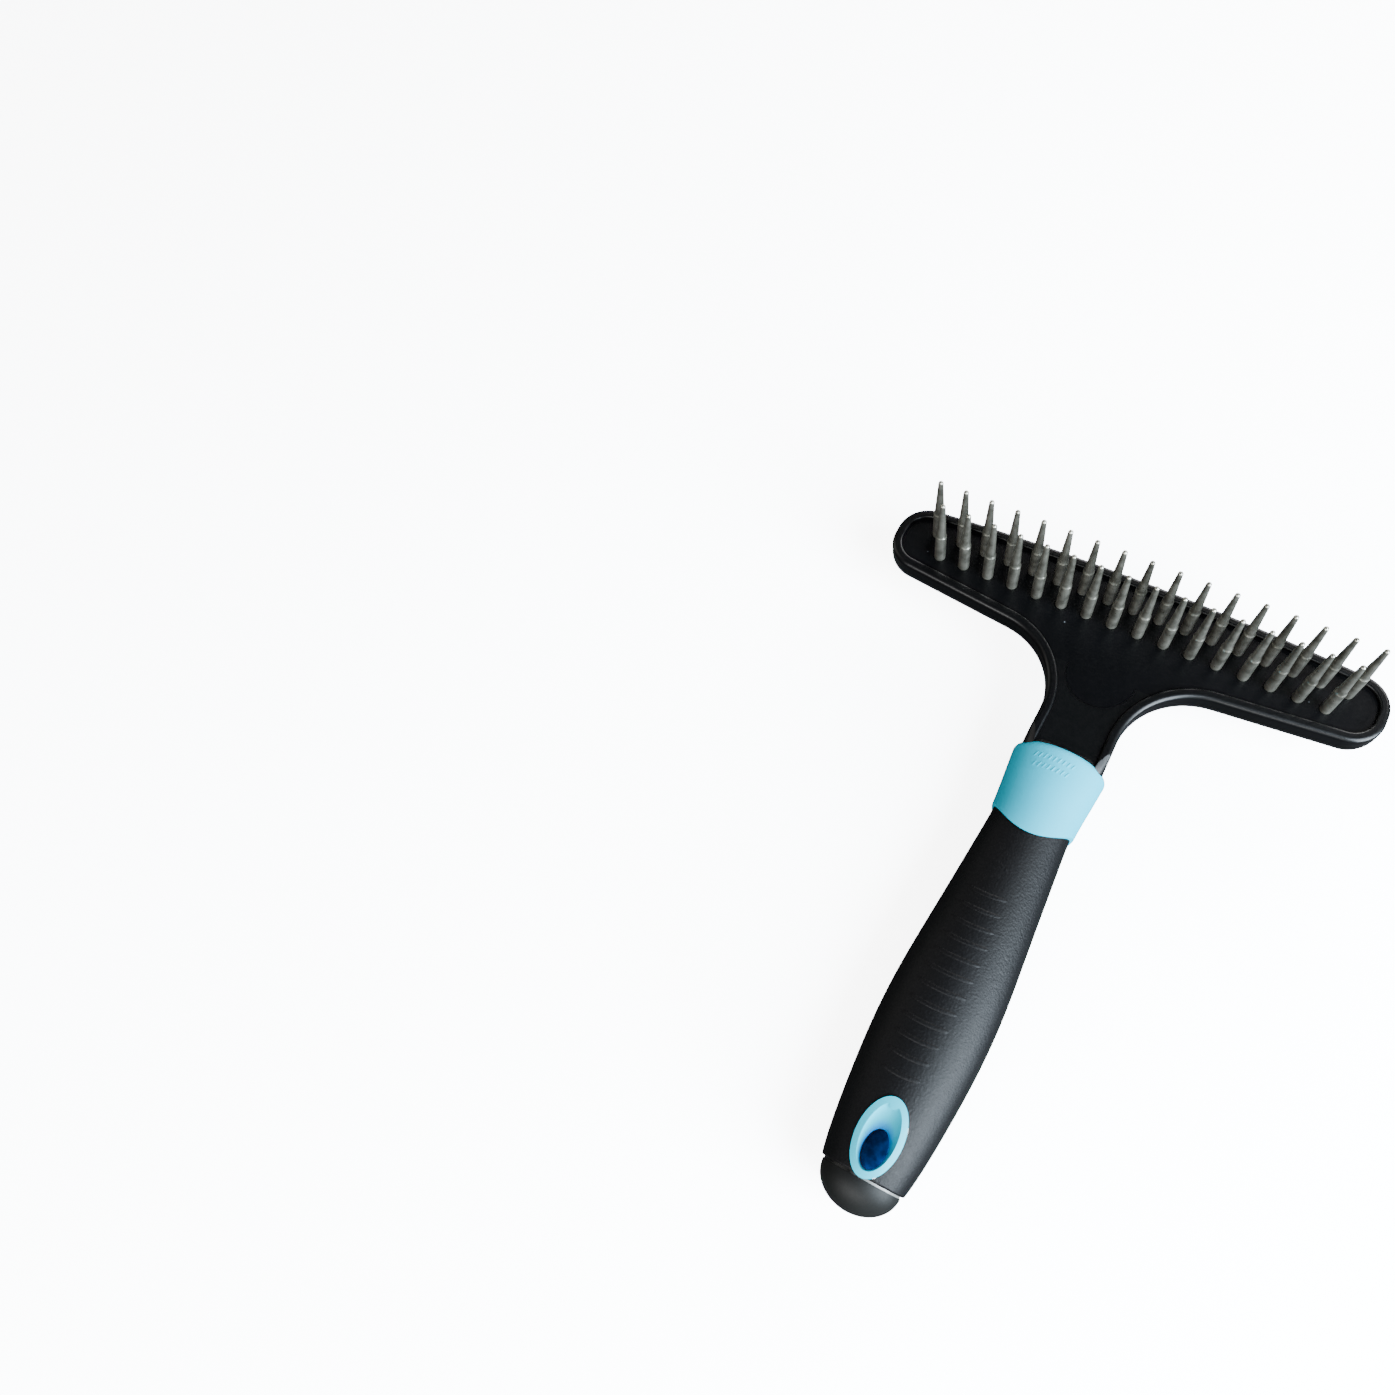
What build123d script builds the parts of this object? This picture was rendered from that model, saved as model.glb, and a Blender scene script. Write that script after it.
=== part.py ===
"""Undercoat rake: a T-shaped head with two staggered rows of turning steel pins on an overmoulded handle.

Frame: millimetres, +Z up along the pins, +Y from the handle towards the head, +X along the pin rows.
The tool lies on its back, and the origin is at the middle of its bounding box, on the surface it lies on.
"""
from build123d import *
from math import cos, radians, sin
import os

os.makedirs("parts", exist_ok=True)

# Driving dimensions -------------------------------------------------------------------------------

overall_length = 157.6      # front edge of the head to the end of the handle
head_reach = 11.0           # front edge of the head to the line midway between the rows
face_z = 16.0               # face of the pin plate
axis_z = 10.0               # axis of the handle

pin_pitch = 6.35
row_gap = 5.6
back_pins = 17              # the row away from the handle
front_pins = 16             # the row next to the handle, half a pitch across

pin_height = 20.0           # above the plate's face
pin_shoulder = 8.4          # height of the thick lower part
pin_radius = 1.35
pin_upper_radius = 1.15
pin_tip_radius = 0.6
pin_ring_height = 0.5       # the cone between the lower and the upper part
pin_head_radius = 1.7
pin_head_thickness = 1.0
pin_head_play = 0.1
bore_clearance = 0.05

head_half_width = 60.6
arm_end_half_height = 8.1
arm_end_radius = 7.9
neck_corner = (9.2, 13.6)   # where the arm's lower edge would meet the neck's side
neck_fillet = 18.0
neck_half_width = 9.8
head_thickness = 7.0        # plate's face to the flat back
rim_height = 0.8
rim_width = 2.4
rim_outer_radius = 1.1
rim_inner_radius = 0.5
back_edge_radius = 4.2

plate_thickness = 3.2
plate_gap = 0.1
lobe_reach = 24.6           # how far the plate's rounded lobe reaches towards the handle
lobe_half_width = 8.2

neck_end = 40.0             # distances from the row line towards the handle's end
neck_z = face_z - 5.95      # middle of the neck's end
neck_depth = 13.3
neck_round = 4.0
neck_fit = 0.15             # between the neck and the collar's mouth
neck_inset = 0.05           # the swell stays inside the trimmed neck
neck_envelope = [           # distance, width, top, corner radius of the trim that rounds the rims off
    (25.0, 26.0, face_z + 2.0, 1.0),
    (31.0, 20.8, face_z + 1.3, 1.6),
    (36.0, 20.0, face_z + 0.95, 2.8),
    (neck_end, 2 * neck_half_width, neck_z + neck_depth / 2, neck_round),
]
neck_sections = [           # distance, width, depth, middle, corner radius of the swell into the handle
    (21.0, 14.0, 5.0, face_z - 3.5, 2.0),
    (28.0, 16.4, 7.0, face_z - 3.9, 2.6),
    (34.0, 18.8, 10.6, face_z - 5.6, 3.6),
    (neck_end, 2 * (neck_half_width - neck_inset), neck_depth - 2 * neck_inset, neck_z, neck_round),
]
neck_tail = 4.0             # the outline runs on past the neck's end, and is trimmed off
tang_size = (9.0, 7.0)
tang_chamfer = 1.0
tang_end = 71.5
tang_fit = 0.05

collar_start = 38.0
collar_end = 59.7           # at the middle of the face
collar_edge_reach = 14.0    # half width of the arch that the edge follows
collar_edge_rise = 11.2     # height of that arch
collar_lip = 1.6

core_size = (13.0, 12.0)
core_corner = 3.0
core_start = 40.3
core_end = 141.0
socket_end = 72.0
parting_start = 139.0       # the grip's end, where the core's thin flange shows
parting_width = 0.45
parting_inset = 0.2

cap_half_width = 8.8
cap_half_depth = 8.0
cap_end = overall_length - head_reach

eyelet_centre = 130.9
eyelet_radii = (5.0, 8.4)
eyelet_proud = 0.35
dish_radii = (3.9, 7.0)
hole_centre = 133.3
hole_radii = (2.6, 4.2)
hole_half_land = 4.5        # half the length of the straight wall in the middle of the hole
eyelet_seat = (5.05, 8.45)
dish_top = 9.8
seam_gap = 0.05
grip_end_radius = 0.5

overcut = 5.0               # how far a cutting solid runs past what it cuts
beyond = 100.0              # side of a region that holds the whole tool's width

rows_y = overall_length / 2 - head_reach
back_z = face_z - head_thickness
ledge_z = face_z - plate_thickness

# Half width and half depth of the handle's skin at distances from the row line
collar_stations = [(38.0, 11.3, 9.3), (46.0, 10.6, 9.1), (54.0, 9.95, 8.95), (62.0, 9.8, 8.95)]
grip_stations = [
    (50.0, 9.4, 8.5), (64.0, 9.9, 8.8), (78.0, 10.95, 9.35), (92.0, 12.05, 9.85),
    (103.0, 12.5, 10.0), (115.0, 12.15, 9.85), (126.0, 11.25, 9.4), (134.0, 10.3, 8.9), (140.0, 9.1, 8.3),
]


def along(distance):
    """The Y coordinate at a distance from the row line towards the handle's end."""
    return rows_y - distance


def cross_plane(distance, z=axis_z):
    """A plane across the handle: its X is the row frame's X, and its Y is up."""
    return Plane(origin=(0, along(distance), z), x_dir=(1, 0, 0), z_dir=(0, -1, 0))


def skin(stations, extra=0.0):
    """A solid with the handle's elliptical sections, grown by extra."""
    with BuildPart() as form:
        for distance, half_width, half_depth in stations:
            with BuildSketch(cross_plane(distance)):
                Ellipse(half_width + extra, half_depth + extra)
        loft()
    return form.part


def collar_edge(gap=0.0):
    """Everything on the grip's side of the collar's curved edge, moved on by gap."""
    foot_y = along(collar_end - collar_edge_rise + gap)
    left = (-collar_edge_reach, foot_y)
    right = (collar_edge_reach, foot_y)
    with BuildPart() as side:
        with BuildSketch():
            with BuildLine():
                Bezier(left, (0, foot_y - 2 * collar_edge_rise), right)
                Polyline(right, (collar_edge_reach, along(cap_end + overcut)),
                         (-collar_edge_reach, along(cap_end + overcut)), left)
            make_face()
        extrude(amount=2 * face_z)
    return side.part


def oval_prism(radii, centre):
    """An upright oval prism through the whole handle."""
    with BuildPart() as prism:
        with BuildSketch(Plane.XY.offset(-overcut).shift_origin((0, along(centre), -overcut))):
            Ellipse(*radii)
        extrude(amount=2 * face_z)
    return prism.part


def head_outline(inset=0.0):
    """The T-shaped outline of the head and neck, seen along the pins."""
    with BuildSketch(mode=Mode.PRIVATE) as outline:
        with BuildLine():
            corner = (head_half_width, rows_y + arm_end_half_height)
            front = (0, rows_y + head_reach)
            mirrored = (-corner[0], corner[1])
            ThreePointArc(mirrored, front, corner)
            right = [
                corner,
                (head_half_width, rows_y - arm_end_half_height),
                (neck_corner[0], along(neck_corner[1])),
                (neck_half_width, along(neck_end + neck_tail)),
            ]
            left = [(-x, y) for x, y in reversed(right)]
            Polyline(*right, *left)
        make_face()
        ends = outline.vertices().filter_by(lambda v: abs(v.X) > head_half_width - 1)
        fillet(ends, arm_end_radius)
        bends = outline.vertices().filter_by(
            lambda v: abs(abs(v.X) - neck_corner[0]) < 0.1 and abs(v.Y - along(neck_corner[1])) < 0.1)
        fillet(bends, neck_fillet)
        if inset:
            offset(amount=-inset, kind=Kind.INTERSECTION, mode=Mode.REPLACE)
    return outline.sketch


def plate_outline(inset):
    """The pin plate's outline: the head's, drawn in, and closed by a round lobe at the neck."""
    lobe_y = along(lobe_reach) + lobe_half_width
    with BuildSketch(mode=Mode.PRIVATE) as outline:
        add(head_outline(inset))
        with BuildSketch(mode=Mode.INTERSECT):
            with Locations((0, lobe_y + beyond / 2)):
                Rectangle(3 * head_half_width, beyond)
            with Locations((0, lobe_y)):
                Circle(lobe_half_width + rim_width - inset)
    return outline.sketch


def pin_places():
    """Name and centre of every pin, the back row first."""
    places = []
    for row, count, y in (("back", back_pins, row_gap / 2), ("front", front_pins, -row_gap / 2)):
        for index in range(count):
            x = (index - (count - 1) / 2) * pin_pitch
            places.append((f"pin_{row}_{index + 1:02d}", x, rows_y + y))
    return places


def save(piece, name):
    """Label a finished piece and write it."""
    piece.part.label = name
    export_step(piece.part, f"parts/{name}.step")


# Head shell ---------------------------------------------------------------------------------------

with BuildPart() as neck_trim:
    with BuildSketch(cross_plane(neck_envelope[0][0])):
        Rectangle(beyond, beyond)
    extrude(amount=neck_end + neck_tail + overcut - neck_envelope[0][0])
    for distance, width, top, corner in neck_envelope:
        with BuildSketch(cross_plane(distance, top - neck_depth / 2)):
            RectangleRounded(width, neck_depth, corner)
    loft(mode=Mode.SUBTRACT)

with BuildPart() as head_shell:
    with BuildSketch(Plane.XY.offset(back_z)):
        add(head_outline())
    extrude(amount=head_thickness + rim_height)
    fillet(head_shell.faces().sort_by(Axis.Z)[0].edges(), back_edge_radius)
    fillet(head_shell.faces().sort_by(Axis.Z)[-1].edges(), rim_outer_radius)
    with BuildSketch(Plane.XY.offset(face_z)):
        add(head_outline(rim_width))
    extrude(amount=overcut, mode=Mode.SUBTRACT)
    fillet(head_shell.faces().sort_by(Axis.Z)[-1].inner_wires()[0].edges(), rim_inner_radius)
    add(neck_trim.part, mode=Mode.SUBTRACT)
    for distance, width, depth, z, corner in neck_sections:
        with BuildSketch(cross_plane(distance, z)):
            RectangleRounded(width, depth, corner)
    loft()
    with BuildSketch(cross_plane(neck_end - 1)):
        Rectangle(*tang_size)
    extrude(amount=tang_end - neck_end + 1)
    chamfer(head_shell.faces().sort_by(Axis.Y)[0].edges(), tang_chamfer)
    with BuildSketch(Plane.XY.offset(ledge_z)):
        add(plate_outline(rim_width))
    extrude(amount=plate_thickness + overcut, mode=Mode.SUBTRACT)
save(head_shell, "head_shell")

# Pin plate ----------------------------------------------------------------------------------------

with BuildPart() as pin_plate:
    with BuildSketch(Plane.XY.offset(ledge_z)):
        add(plate_outline(rim_width + plate_gap))
    extrude(amount=plate_thickness)
    with BuildSketch(Plane.XY.offset(ledge_z)):
        with Locations(*[(x, y) for name, x, y in pin_places()]):
            Circle(pin_radius + bore_clearance)
    extrude(amount=plate_thickness, mode=Mode.SUBTRACT)
    with BuildSketch(Plane.XY.offset(ledge_z)):
        with Locations(*[(x, y) for name, x, y in pin_places()]):
            Circle(pin_head_radius + pin_head_play)
    extrude(amount=pin_head_thickness + 2 * pin_head_play, mode=Mode.SUBTRACT)
save(pin_plate, "pin_plate")

# Pins ---------------------------------------------------------------------------------------------

for name, x, y in pin_places():
    with BuildPart() as pin:
        with BuildSketch(Plane(origin=(x, y, face_z), x_dir=(1, 0, 0), z_dir=(0, -1, 0))):
            with BuildLine():
                foot = pin_head_play - plate_thickness
                tip_start = pin_height - pin_tip_radius
                Polyline(
                    (0, pin_height), (0, foot), (pin_head_radius, foot),
                    (pin_head_radius, foot + pin_head_thickness), (pin_radius, foot + pin_head_thickness),
                    (pin_radius, pin_shoulder), (pin_upper_radius, pin_shoulder + pin_ring_height),
                    (pin_tip_radius, tip_start),
                )
                RadiusArc((pin_tip_radius, tip_start), (0, pin_height), -pin_tip_radius)
            make_face()
        revolve(axis=Axis((x, y, 0), (0, 0, 1)))
    save(pin, name)

# Collar -------------------------------------------------------------------------------------------

with BuildPart() as collar:
    add(skin(collar_stations))
    add(collar_edge(), mode=Mode.SUBTRACT)
    split(bisect_by=cross_plane(collar_start), keep=Keep.TOP)
    fillet(collar.faces().sort_by(Axis.Y)[-1].edges(), collar_lip)
    with BuildSketch(cross_plane(collar_start - 1, neck_z)):
        RectangleRounded(2 * (neck_half_width + neck_fit), neck_depth + 2 * neck_fit, neck_round + neck_fit)
    extrude(amount=neck_end - collar_start + 1 + neck_fit, mode=Mode.SUBTRACT)
    with BuildSketch(cross_plane(collar_start)):
        RectangleRounded(*core_size, core_corner)
    extrude(amount=collar_end, mode=Mode.SUBTRACT)
save(collar, "collar")

# Handle core --------------------------------------------------------------------------------------

with BuildPart() as handle_core:
    with BuildSketch(cross_plane(core_start)):
        RectangleRounded(*core_size, core_corner)
    extrude(amount=core_end - core_start)
    with BuildSketch(cross_plane(parting_start)):
        Ellipse(cap_half_width - parting_inset, cap_half_depth - parting_inset)
    extrude(amount=parting_width)
    with BuildSketch(cross_plane(core_start)):
        Rectangle(tang_size[0] + 2 * tang_fit, tang_size[1] + 2 * tang_fit)
    extrude(amount=socket_end - core_start, mode=Mode.SUBTRACT)
    add(oval_prism(eyelet_seat, eyelet_centre), mode=Mode.SUBTRACT)
save(handle_core, "handle_core")

# Grip sleeve --------------------------------------------------------------------------------------

with BuildPart() as grip_sleeve:
    add(skin(grip_stations))
    add(collar_edge(seam_gap), mode=Mode.INTERSECT)
    split(bisect_by=cross_plane(parting_start), keep=Keep.BOTTOM)
    fillet(grip_sleeve.faces().sort_by(Axis.Y)[0].edges(), grip_end_radius)
    with BuildSketch(cross_plane(core_start)):
        RectangleRounded(*core_size, core_corner)
    extrude(amount=core_end, mode=Mode.SUBTRACT)
    add(oval_prism(eyelet_seat, eyelet_centre), mode=Mode.SUBTRACT)
save(grip_sleeve, "grip_sleeve")

# Hang eyelet --------------------------------------------------------------------------------------

with BuildPart() as hang_eyelet:
    add(skin(grip_stations, eyelet_proud))
    add(oval_prism(eyelet_radii, eyelet_centre), mode=Mode.INTERSECT)
    add(oval_prism(hole_radii, hole_centre), mode=Mode.SUBTRACT)
    for side in (1, -1):
        with BuildSketch(Plane((0, along(eyelet_centre), axis_z + side * dish_top))):
            Ellipse(*dish_radii)
        with BuildSketch(Plane((0, along(hole_centre), axis_z + side * hole_half_land))):
            Ellipse(*hole_radii)
        loft(mode=Mode.SUBTRACT)
save(hang_eyelet, "hang_eyelet")

# End cap ------------------------------------------------------------------------------------------

with BuildPart() as end_cap:
    cap_start = parting_start + parting_width
    for angle in (0, 20, 38, 54, 68, 78, 85):
        distance = cap_start + (cap_end - cap_start) * sin(radians(angle))
        with BuildSketch(cross_plane(distance)):
            Ellipse(cap_half_width * cos(radians(angle)), cap_half_depth * cos(radians(angle)))
    loft()
    with BuildSketch(cross_plane(cap_start)):
        RectangleRounded(*core_size, core_corner)
    extrude(amount=core_end - cap_start, mode=Mode.SUBTRACT)
    add(oval_prism(eyelet_seat, eyelet_centre), mode=Mode.SUBTRACT)
save(end_cap, "end_cap")
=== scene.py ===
"""Looks for the undercoat rake: materials, fine surface detail, a pale floor, studio light and a camera."""

import math

import bmesh
import bpy
from mathutils import Matrix, Vector


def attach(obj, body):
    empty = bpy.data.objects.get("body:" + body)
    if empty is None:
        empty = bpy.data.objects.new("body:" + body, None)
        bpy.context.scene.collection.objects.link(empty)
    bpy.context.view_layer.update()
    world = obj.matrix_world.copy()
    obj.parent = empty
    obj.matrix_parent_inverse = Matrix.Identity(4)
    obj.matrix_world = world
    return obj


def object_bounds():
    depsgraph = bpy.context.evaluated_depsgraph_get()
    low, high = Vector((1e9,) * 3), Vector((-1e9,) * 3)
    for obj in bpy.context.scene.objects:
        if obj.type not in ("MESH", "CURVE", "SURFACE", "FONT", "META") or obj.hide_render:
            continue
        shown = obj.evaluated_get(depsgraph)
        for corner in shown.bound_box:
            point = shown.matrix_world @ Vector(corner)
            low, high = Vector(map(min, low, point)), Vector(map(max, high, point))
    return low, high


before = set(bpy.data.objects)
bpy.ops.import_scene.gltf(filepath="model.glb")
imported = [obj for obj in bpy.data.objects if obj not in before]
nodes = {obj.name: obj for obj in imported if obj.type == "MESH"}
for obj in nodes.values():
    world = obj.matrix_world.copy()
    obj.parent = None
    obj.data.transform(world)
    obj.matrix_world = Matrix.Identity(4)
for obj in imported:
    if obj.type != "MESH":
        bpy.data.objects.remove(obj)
cad_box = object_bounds()

MM = 0.001
BODY = "rake_body"
rows_y = 67.8 * MM                  # the line midway between the pin rows
hole_y = rows_y - 133.3 * MM        # centre of the hanging hole
shade_disc_radius = 4.7 * MM              # painted shade: a dark blue disc on the floor, seen through the hole
shade_disc_fade_end = 5.3 * MM
floor_glow = 6.0                    # how bright the floor and the backdrop are to the camera alone
backdrop_glow = 6.1
bounce = 0.03                       # the floor's reflectance to every other ray
ray_start = 0.1                     # a height above the whole tool
sunk = 0.04 * MM                    # how far a ridge's edges lie under the surface


# Material helpers ---------------------------------------------------------------------------------

def new_material(name, base, roughness, metallic=0.0, specular=0.5):
    """A Principled material, with its tree and its shader."""
    material = bpy.data.materials.new(name)
    material.use_nodes = True
    tree = material.node_tree
    shader = tree.nodes["Principled BSDF"]
    shader.inputs["Base Color"].default_value = (*base, 1)
    shader.inputs["Roughness"].default_value = roughness
    shader.inputs["Metallic"].default_value = metallic
    shader.inputs["Specular IOR Level"].default_value = specular
    return material, tree, shader


def add_node(tree, kind, **values):
    """A node with its sockets set by name."""
    node = tree.nodes.new(kind)
    for name, value in values.items():
        node.inputs[name.replace("_", " ")].default_value = value
    return node


def object_coordinates(tree):
    return tree.nodes.new("ShaderNodeTexCoord").outputs["Object"]


def noise(tree, scale, detail=2.0, roughness=0.5):
    """Noise over the object's own coordinates; scale is in cycles per metre."""
    node = add_node(tree, "ShaderNodeTexNoise", Scale=scale, Detail=detail, Roughness=roughness)
    tree.links.new(object_coordinates(tree), node.inputs["Vector"])
    return node.outputs["Fac"]


def ramp(tree, value, stops):
    """A colour ramp; stops are (position, colour)."""
    node = tree.nodes.new("ShaderNodeValToRGB")
    points = node.color_ramp.elements
    while len(points) < len(stops):
        points.new(0.5)
    for point, (position, colour) in zip(points, stops):
        point.position = position
        point.color = (*colour, 1)
    tree.links.new(value, node.inputs["Fac"])
    return node.outputs["Color"]


def map_range(tree, value, low, high, from_low=0.0, from_high=1.0):
    node = add_node(tree, "ShaderNodeMapRange")
    settings = {"From Min": from_low, "From Max": from_high, "To Min": low, "To Max": high}
    for name, number in settings.items():
        node.inputs[name].default_value = number
    tree.links.new(value, node.inputs["Value"])
    return node.outputs["Result"]


def bump(tree, shader, height, distance):
    """Adds a bump under any bump that the shader already has."""
    node = add_node(tree, "ShaderNodeBump", Strength=1.0, Distance=distance)
    tree.links.new(height, node.inputs["Height"])
    socket = shader.inputs["Normal"]
    if socket.is_linked:
        tree.links.new(socket.links[0].from_socket, node.inputs["Normal"])
    tree.links.new(node.outputs["Normal"], socket)


def gradient(tree, axis, start, end):
    """0 to 1 between two places along an axis of the row frame, in metres."""
    split = add_node(tree, "ShaderNodeSeparateXYZ")
    tree.links.new(object_coordinates(tree), split.inputs["Vector"])
    return map_range(tree, split.outputs[axis], 0.0, 1.0, start, end)


def mix(tree, factor, first, second):
    node = tree.nodes.new("ShaderNodeMix")
    node.data_type = "RGBA"
    for socket, value in ((0, factor), (6, first), (7, second)):
        if isinstance(value, tuple):
            node.inputs[socket].default_value = (*value, 1)
        else:
            tree.links.new(value, node.inputs[socket])
    return node.outputs[2]


def moulded_plastic(name, dark, light, roughness, grain, specular=0.5):
    """Moulded plastic: faint flow variation in colour and gloss, and a fine grain."""
    material, tree, shader = new_material(name, dark, roughness[0], specular=specular)
    tree.links.new(ramp(tree, noise(tree, 60, 3), [(0.3, dark), (0.7, light)]), shader.inputs["Base Color"])
    tree.links.new(map_range(tree, noise(tree, 900, 4), *roughness), shader.inputs["Roughness"])
    bump(tree, shader, noise(tree, 5000, 2), grain)
    bump(tree, shader, noise(tree, 90, 1), 0.00006)
    return material, tree, shader


# Materials ----------------------------------------------------------------------------------------

def dusted(tree, shader, density):
    """Sparse pale specks of dust over the colour the shader already has."""
    cells = add_node(tree, "ShaderNodeTexVoronoi", Scale=density, Randomness=1.0)
    tree.links.new(object_coordinates(tree), cells.inputs["Vector"])
    near = map_range(tree, cells.outputs["Distance"], 1.0, 0.0, 0.025, 0.05)
    rare = add_node(tree, "ShaderNodeMath")
    rare.operation = "GREATER_THAN"
    rare.inputs[1].default_value = 0.72
    tree.links.new(cells.outputs["Color"], rare.inputs[0])
    speck = add_node(tree, "ShaderNodeMath")
    speck.operation = "MULTIPLY"
    tree.links.new(near, speck.inputs[0])
    tree.links.new(rare.outputs["Value"], speck.inputs[1])
    below = shader.inputs["Base Color"].links[0].from_socket
    speckled = mix(tree, speck.outputs["Value"], below, (0.05, 0.055, 0.06))
    tree.links.new(speckled, shader.inputs["Base Color"])


def head_material():
    material, tree, shader = moulded_plastic(
        "head_black", (0.0003, 0.0003, 0.00035), (0.0005, 0.0005, 0.0006), (0.3, 0.4), 0.000004, 0.12)
    dusted(tree, shader, 260)
    return material


def plate_material():
    material, tree, shader = moulded_plastic(
        "plate_black", (0.0003, 0.0003, 0.0004), (0.0005, 0.0005, 0.0007), (0.3, 0.4), 0.000005, 0.08)
    dusted(tree, shader, 260)
    return material


def cap_material():
    return moulded_plastic(
        "cap_charcoal", (0.0016, 0.0017, 0.0016), (0.0026, 0.0027, 0.0025), (0.5, 0.6), 0.00001, 0.08)[0]


def collar_material():
    return moulded_plastic(
        "collar_aqua", (0.0, 0.16, 0.22), (0.0, 0.18, 0.25), (0.36, 0.46), 0.000004, 0.05)[0]


def eyelet_material():
    """Aqua plastic with painted shade: darker and bluer down in the hole."""
    material, tree, shader = moulded_plastic(
        "eyelet_aqua", (0.0002, 0.17, 0.22), (0.0002, 0.19, 0.25), (0.3, 0.4), 0.000004, 0.1)
    pale = shader.inputs["Base Color"].links[0].from_socket
    # Painted shade: the colour goes bluer and then near black further down the hole.
    half_shaded_aqua = mix(tree, gradient(tree, "Z", 0.0168, 0.014), pale, (0.0, 0.075, 0.27))
    hole_shade_depth = gradient(tree, "Z", 0.014, 0.0115)
    tree.links.new(mix(tree, hole_shade_depth, half_shaded_aqua, (0.0, 0.012, 0.13)), shader.inputs["Base Color"])
    return material


def core_material():
    """Pale plastic; the flange is pale on one side and near black on the other, painted shade on the side
    away from the light.
    """
    material, tree, shader = moulded_plastic(
        "core_grey", (0.06, 0.06, 0.055), (0.09, 0.09, 0.085), (0.3, 0.4), 0.000005, 0.2)
    pale = shader.inputs["Base Color"].links[0].from_socket
    # Painted shade: the flange goes near black towards -X, the side away from the light.
    tree.links.new(mix(tree, gradient(tree, "X", 0.0, -0.0025), pale, (0.0005, 0.0005, 0.0005)),
                   shader.inputs["Base Color"])
    return material


def rubber_material():
    """Soft black rubber with a fine spark-eroded grain."""
    material, tree, shader = new_material("grip_rubber", (0.0005, 0.0005, 0.0006), 0.5, specular=0.08)
    black = ramp(tree, noise(tree, 45, 3), [(0.3, (0.0004, 0.0004, 0.0005)), (0.7, (0.0008, 0.0008, 0.001))])
    tree.links.new(black, shader.inputs["Base Color"])
    tree.links.new(map_range(tree, noise(tree, 1500, 3), 0.42, 0.54), shader.inputs["Roughness"])
    bump(tree, shader, noise(tree, 1900, 3, 0.65), 0.00012)
    return material


def steel_material():
    """Turned steel: fine rings round each pin, and uneven dull patches."""
    material, tree, shader = new_material("pin_steel", (0.1, 0.1, 0.085), 0.35, metallic=0.9)
    grey = ramp(tree, noise(tree, 420, 3), [(0.3, (0.09, 0.088, 0.072)), (0.7, (0.24, 0.235, 0.2))])
    tree.links.new(grey, shader.inputs["Base Color"])
    tree.links.new(map_range(tree, noise(tree, 1800, 3), 0.22, 0.4), shader.inputs["Roughness"])
    rings = add_node(tree, "ShaderNodeTexWave", Scale=700.0, Distortion=1.2, Detail=1.0)
    rings.bands_direction = "Z"
    tree.links.new(object_coordinates(tree), rings.inputs["Vector"])
    bump(tree, shader, rings.outputs["Fac"], 0.000012)
    return material


def floor_material():
    """Pale and glowing to the camera, and nearly dark to every other ray, so it lights the tool little.

    A dark blue disc of painted shade under the hanging hole is what shows through the hole from above.
    """
    material, tree, shader = new_material("floor_white", (0.9, 0.9, 0.9), 0.9, specular=0.0)
    white = ramp(tree, noise(tree, 8, 2), [(0.3, (0.9, 0.9, 0.9)), (0.7, (0.92, 0.92, 0.92))])
    offset = add_node(tree, "ShaderNodeVectorMath")
    offset.operation = "DISTANCE"
    offset.inputs[1].default_value = (0.0, hole_y, 0.0)
    tree.links.new(object_coordinates(tree), offset.inputs[0])
    # Painted shade: inside the disc under the hanging hole the floor is dark blue and barely glows to the
    # camera.
    outside_shade_disc = map_range(tree, offset.outputs["Value"], 0.0, 1.0, shade_disc_radius, shade_disc_fade_end)
    path = add_node(tree, "ShaderNodeLightPath").outputs["Is Camera Ray"]
    painted_shade_blue = ramp(tree, noise(tree, 500, 2), [(0.35, (0.0, 0.008, 0.04)), (0.65, (0.001, 0.022, 0.1))])
    floor_with_shade_disc = mix(tree, outside_shade_disc, painted_shade_blue, white)
    tree.links.new(mix(tree, path, (bounce,) * 3, floor_with_shade_disc), shader.inputs["Base Color"])
    glow = mix(tree, outside_shade_disc, (0.0, 0.0003, 0.002), (1.0, 1.0, 1.0))
    tree.links.new(mix(tree, path, (0.0, 0.0, 0.0), glow), shader.inputs["Emission Color"])
    shader.inputs["Emission Strength"].default_value = floor_glow
    return material


def paint(names, material):
    """Puts one material on CAD nodes, in place of all their own."""
    for name in names:
        for slot in nodes[name].material_slots:
            slot.material = material


paint(["head_shell"], head_material())
paint(["pin_plate"], plate_material())
paint(["collar"], collar_material())
paint(["hang_eyelet"], eyelet_material())
paint(["handle_core"], core_material())
paint(["grip_sleeve"], rubber_material())
paint(["end_cap"], cap_material())
paint([name for name in nodes if name.startswith("pin_") and name != "pin_plate"], steel_material())


# Fine relief --------------------------------------------------------------------------------------

def surface_height(node, x, y):
    """How high a CAD node's upper surface is at a place, in metres."""
    hit, place, normal, index = nodes[node].ray_cast(Vector((x, y, ray_start)), Vector((0, 0, -1)))
    return place.z if hit else None


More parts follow.
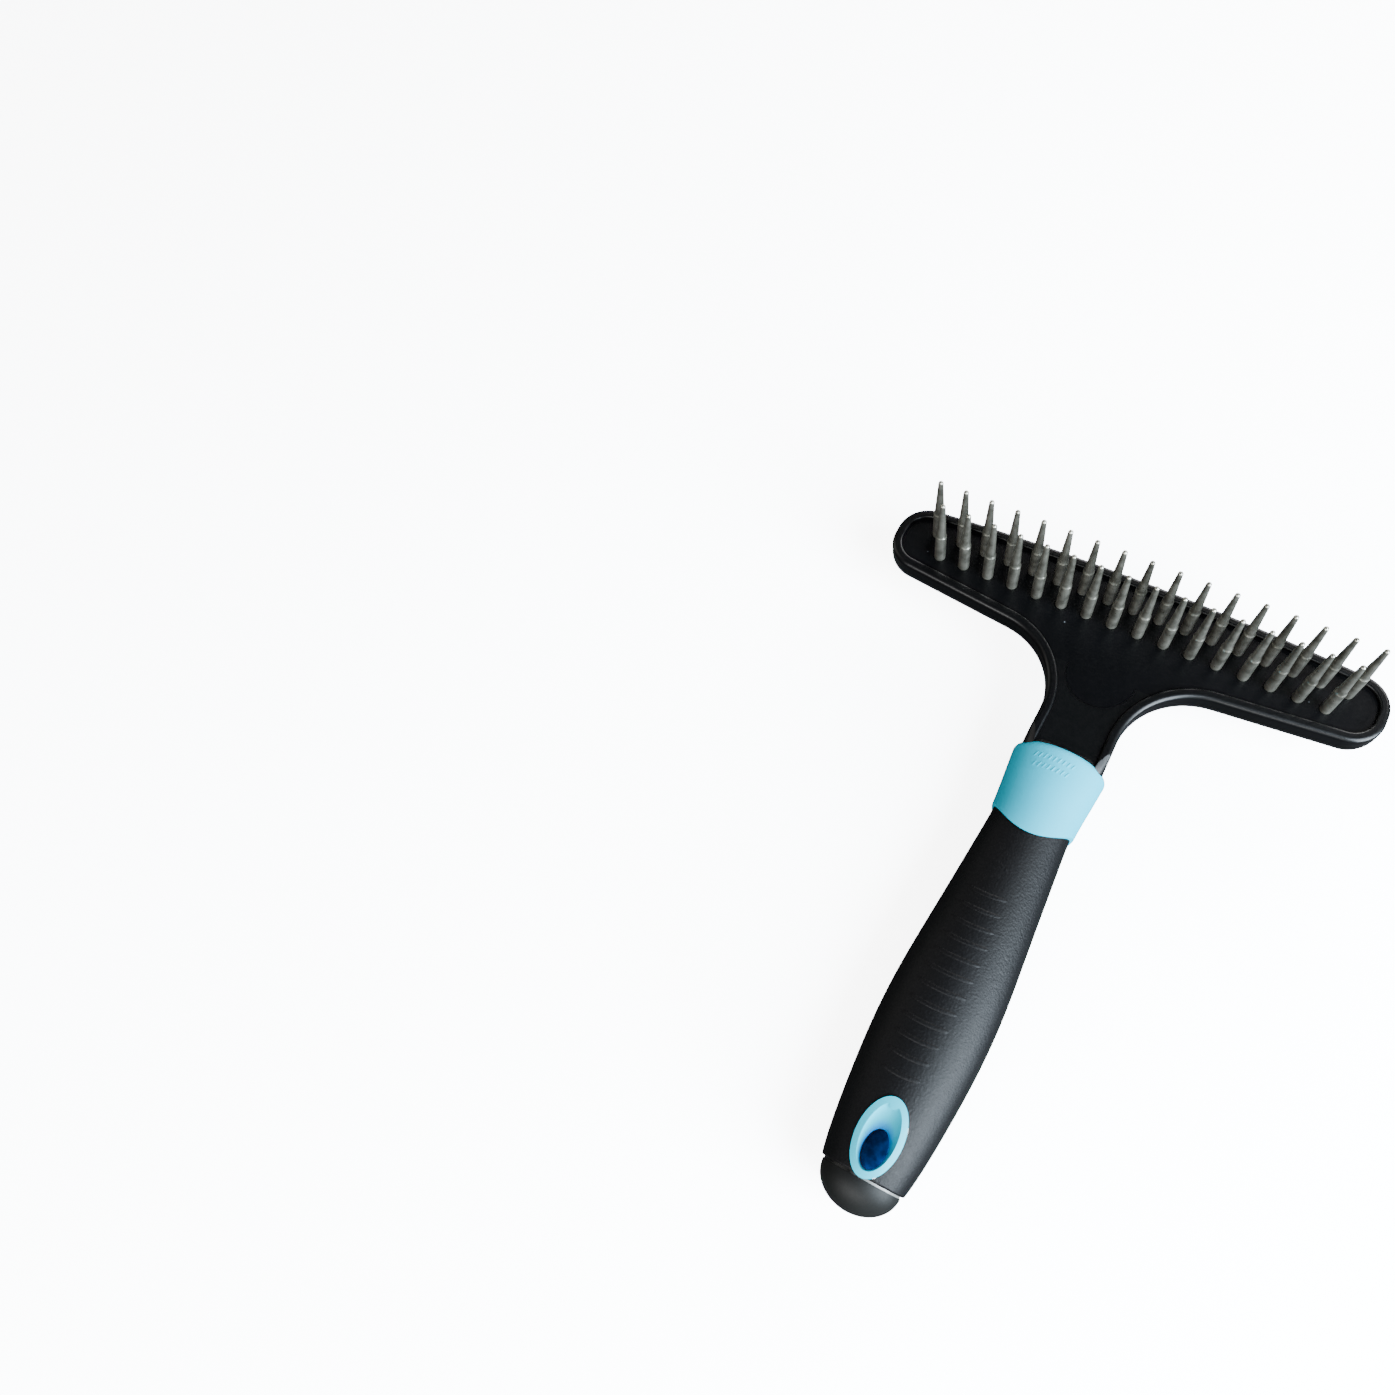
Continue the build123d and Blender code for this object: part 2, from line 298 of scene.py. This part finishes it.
def relief(name, node, strokes, half_width, proud):
    """Low rounded ridges that follow a node's surface; strokes are lists of points seen from above."""
    form = bmesh.new()
    across = (-1.0, -0.72, -0.35, 0.0, 0.35, 0.72, 1.0)
    for stroke in strokes:
        rows = []
        for index, (x, y) in enumerate(stroke):
            before = Vector(stroke[max(index - 1, 0)])
            after = Vector(stroke[min(index + 1, len(stroke) - 1)])
            side = (after - before).normalized().orthogonal()
            fade = math.sqrt(max(0.0, 1 - (2 * index / (len(stroke) - 1) - 1) ** 6))
            row = []
            for share in across:
                place = Vector((x, y)) + side * share * half_width * max(fade, 0.15)
                lift = proud * fade * math.sqrt(1 - share * share) - sunk
                height = surface_height(node, place.x, place.y) + lift
                row.append(form.verts.new((place.x, place.y, height)))
            rows.append(row)
        for first, second in zip(rows, rows[1:]):
            for k in range(len(across) - 1):
                form.faces.new((first[k], first[k + 1], second[k + 1], second[k]))
    for face in form.faces:
        face.smooth = True
    bmesh.ops.recalc_face_normals(form, faces=form.faces)
    piece = bpy.data.objects.new(name, bpy.data.meshes.new(name))
    bpy.context.collection.objects.link(piece)
    form.to_mesh(piece.data)
    form.free()
    piece.data.materials.append(nodes[node].material_slots[0].material)
    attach(piece, BODY)


grip_rib_count = 12
grip_rib_start = 76.5 * MM          # from the row line
grip_rib_pitch = 3.8 * MM
grip_rib_shift = -1.8 * MM          # sideways
grip_rib_bow = 0.6 * MM

grip_strokes = []
for index in range(grip_rib_count):
    y = rows_y - grip_rib_start - grip_rib_pitch * index
    reach = (4.6 + 1.2 * math.sin(math.pi * index / (grip_rib_count - 1))) * MM
    shares = [k / 10 - 1 for k in range(21)]
    grip_strokes.append([(grip_rib_shift + reach * s, y + grip_rib_bow * s ** 2) for s in shares])
relief("grip_ribs", "grip_sleeve", grip_strokes, 0.55 * MM, 0.17 * MM)

ridge_pitch = 1.1 * MM              # the second row stands half a pitch across
ridge_left = -5.6 * MM
ridge_start = 41.6 * MM             # from the row line
ridge_row_gap = 2.3 * MM
ridge_half = (0.3 * MM, 0.75 * MM)

collar_strokes = []
for row, count in ((0, 9), (1, 8)):
    for index in range(count):
        x = ridge_left + ridge_pitch * (row / 2 + index)
        y = rows_y - ridge_start - ridge_row_gap * row
        shares = [k / 4 - 1 for k in range(9)]
        collar_strokes.append([(x + ridge_half[0] * s, y + ridge_half[1] * s) for s in shares])
relief("collar_ribs", "collar", collar_strokes, 0.26 * MM, 0.14 * MM)


# Stage --------------------------------------------------------------------------------------------

def make_floor(size=4.0):
    floor = bpy.data.objects.new("floor", bpy.data.meshes.new("floor"))
    bpy.context.collection.objects.link(floor)
    form = bmesh.new()
    bmesh.ops.create_grid(form, x_segments=2, y_segments=2, size=size)
    form.to_mesh(floor.data)
    form.free()
    floor.location.z = cad_box[0][2]
    floor.data.materials.append(floor_material())


def make_light(name, position, target, size, power, colour):
    lamp = bpy.data.lights.new(name, "AREA")
    lamp.shape = "RECTANGLE"
    lamp.size, lamp.size_y = size
    lamp.energy = power
    lamp.color = colour
    holder = bpy.data.objects.new(name, lamp)
    bpy.context.collection.objects.link(holder)
    holder.location = position
    holder.visible_camera = False
    holder.rotation_mode = "QUATERNION"
    holder.rotation_quaternion = (Vector(target) - Vector(position)).to_track_quat("-Z", "Y")


def make_world(colour, strength):
    """Bright behind the floor to the camera alone, and dim for the light it gives."""
    world = bpy.data.worlds.new("studio")
    bpy.context.scene.world = world
    world.use_nodes = True
    tree = world.node_tree
    background = tree.nodes["Background"]
    path = add_node(tree, "ShaderNodeLightPath").outputs["Is Camera Ray"]
    dim = tuple(channel * strength for channel in colour)
    tree.links.new(mix(tree, path, dim, (backdrop_glow,) * 3), background.inputs["Color"])
    background.inputs["Strength"].default_value = 1.0


def make_camera(aim, azimuth, elevation, distance, roll, lens, shift):
    """A camera that looks at aim from a direction in degrees, turned about its own axis by roll."""
    camera = bpy.data.objects.new("camera", bpy.data.cameras.new("camera"))
    bpy.context.collection.objects.link(camera)
    bpy.context.scene.camera = camera
    a, e = math.radians(azimuth), math.radians(elevation)
    back = Vector((math.sin(a) * math.cos(e), -math.cos(a) * math.cos(e), math.sin(e)))
    camera.rotation_mode = "QUATERNION"
    turned = (-back).to_track_quat("-Z", "Y").to_matrix() @ Matrix.Rotation(math.radians(roll), 3, "Z")
    camera.rotation_quaternion = turned.to_quaternion()
    camera.location = Vector(aim) + back * distance
    camera.data.lens = lens
    camera.data.shift_x, camera.data.shift_y = shift
    camera.data.clip_start, camera.data.clip_end = 0.01, 20


make_floor()
make_world((0.8, 0.9, 1.0), 0.03)
make_light("right", (0.55, -0.12, 0.36), (0, 0, 0), (0.45, 0.6), 62, (0.78, 0.9, 1.0))
make_light("low right", (0.6, -0.08, 0.12), (0, 0, 0), (0.5, 0.16), 16, (0.75, 0.88, 1.0))
make_light("front", (-0.05, -0.65, 0.36), (0, 0, 0), (0.7, 0.3), 18, (1, 1, 1))
make_light("left", (-0.65, 0.05, 0.36), (0, 0, 0), (0.3, 0.6), 2.5, (1, 0.98, 0.94))
make_light("back", (0.1, 0.7, 0.3), (0, 0, 0), (0.7, 0.2), 14, (1, 1, 1))
make_camera(aim=(-0.04275, -0.00611, 0.016), azimuth=39.27, elevation=69.67, distance=0.2251, roll=-12.3,
            lens=25.81, shift=(-0.09, 0.08))
